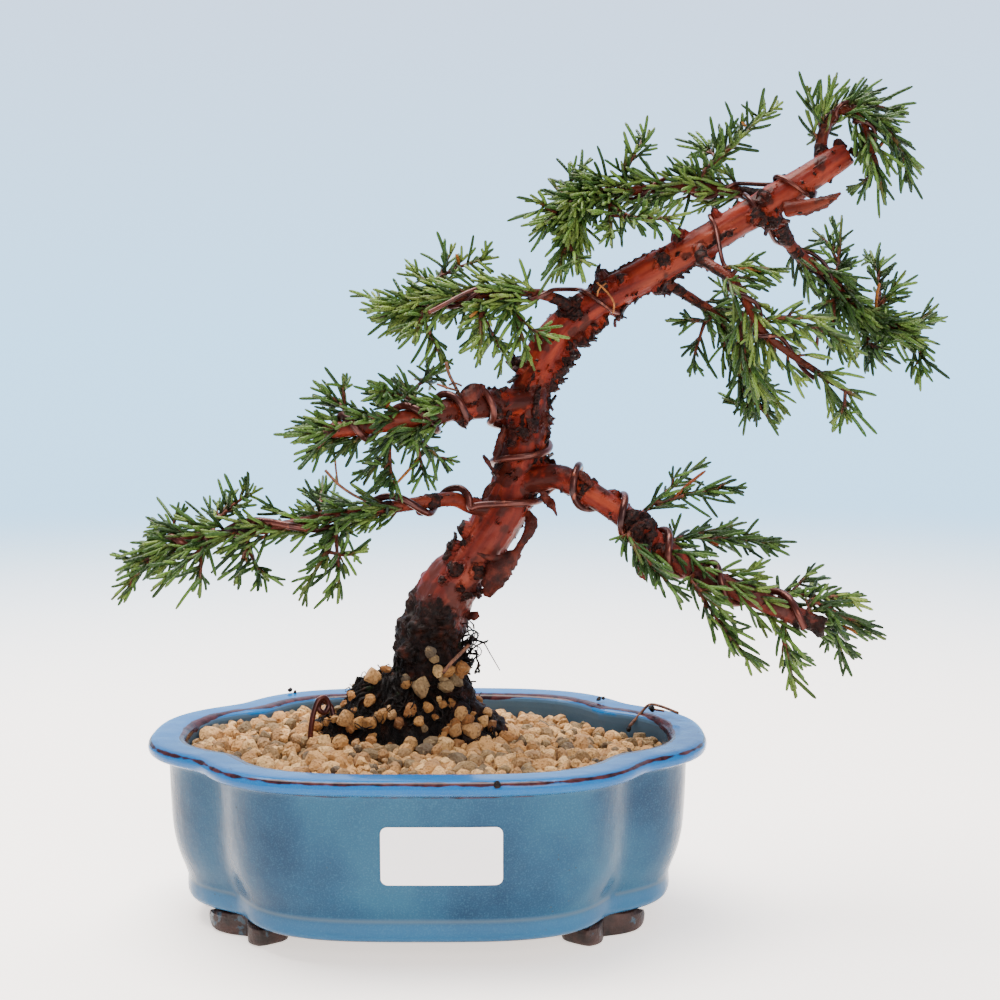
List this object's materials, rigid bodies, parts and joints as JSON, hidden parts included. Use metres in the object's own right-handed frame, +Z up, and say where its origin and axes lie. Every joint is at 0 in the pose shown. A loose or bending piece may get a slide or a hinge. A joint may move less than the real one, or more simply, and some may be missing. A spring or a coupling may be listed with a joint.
{
  "type": "kishu juniper bonsai in a pot",
  "caption": "Wired kishu juniper bonsai leaning to the right over a lobed blue glazed pot, with a gravel top, a red-barked trunk and sprays of green whip foliage.",
  "frame": {"origin": "on the surface that the pot's feet stand on, below the middle of the whole tree's bounding box", "axes": "+Z up, +X along the pot's long side towards the tree's leaning top, -Y towards the front with the label"},
  "size_m": [0.2878, 0.136, 0.2859],
  "materials": {
    "pot_glaze": "gloss blue glaze that breaks to purple brown on the edges, with unglazed dark brown feet",
    "gravel": "matt tan and ochre grains",
    "bark": "red-brown peeling bark, near black at the foot",
    "foliage": "satin green whip foliage with yellow-green tips",
    "bonsai_wire": "brown anodised",
    "drain_mesh": "matt dark green mesh",
    "label_paper": "smooth white, blank"
  },
  "bodies": {
    "root": {"pot": "pot_glaze", "soil": "gravel", "trunk_and_branches": "bark", "label": "label_paper", "tie_down_wire": "bonsai_wire", "drain_screen_left": "drain_mesh", "drain_screen_right": "drain_mesh", "wire_low": "bonsai_wire", "wire_mid_left": "bonsai_wire", "wire_high_left": "bonsai_wire", "wire_top_left": "bonsai_wire", "wire_front_hang": "bonsai_wire", "wire_right": "bonsai_wire", "wire_apex": "bonsai_wire", "spray_low_left_1": "foliage", "spray_low_left_2": "foliage", "spray_low_left_3": "foliage", "spray_low_left_4": "foliage", "spray_low_left_5": "foliage", "spray_low_left_6": "foliage", "spray_low_left_7": "foliage", "spray_mid_left_1": "foliage", "spray_mid_left_2": "foliage", "spray_mid_left_3": "foliage", "spray_mid_left_4": "foliage", "spray_mid_left_5": "foliage", "spray_high_left_1": "foliage", "spray_high_left_2": "foliage", "spray_high_left_3": "foliage", "spray_high_left_4": "foliage", "spray_high_left_5": "foliage", "spray_top_left_1": "foliage", "spray_top_left_2": "foliage", "spray_top_left_3": "foliage", "spray_top_left_4": "foliage", "spray_top_left_5": "foliage", "spray_top_left_6": "foliage", "spray_apex_1": "foliage", "spray_apex_2": "foliage", "spray_apex_3": "foliage", "spray_apex_4": "foliage", "spray_right_high_1": "foliage", "spray_right_high_2": "foliage", "spray_right_high_3": "foliage", "spray_right_high_4": "foliage", "spray_right_high_5": "foliage", "spray_front_hang_1": "foliage", "spray_front_hang_2": "foliage", "spray_front_hang_3": "foliage", "spray_front_hang_4": "foliage", "spray_back_hang_1": "foliage", "spray_back_hang_2": "foliage", "spray_back_hang_3": "foliage", "spray_low_right_1": "foliage", "spray_low_right_2": "foliage", "spray_low_right_3": "foliage", "spray_low_right_4": "foliage", "spray_low_right_5": "foliage", "spray_low_right_6": "foliage", "spray_low_right_7": "foliage"}
  },
  "joints": []
}
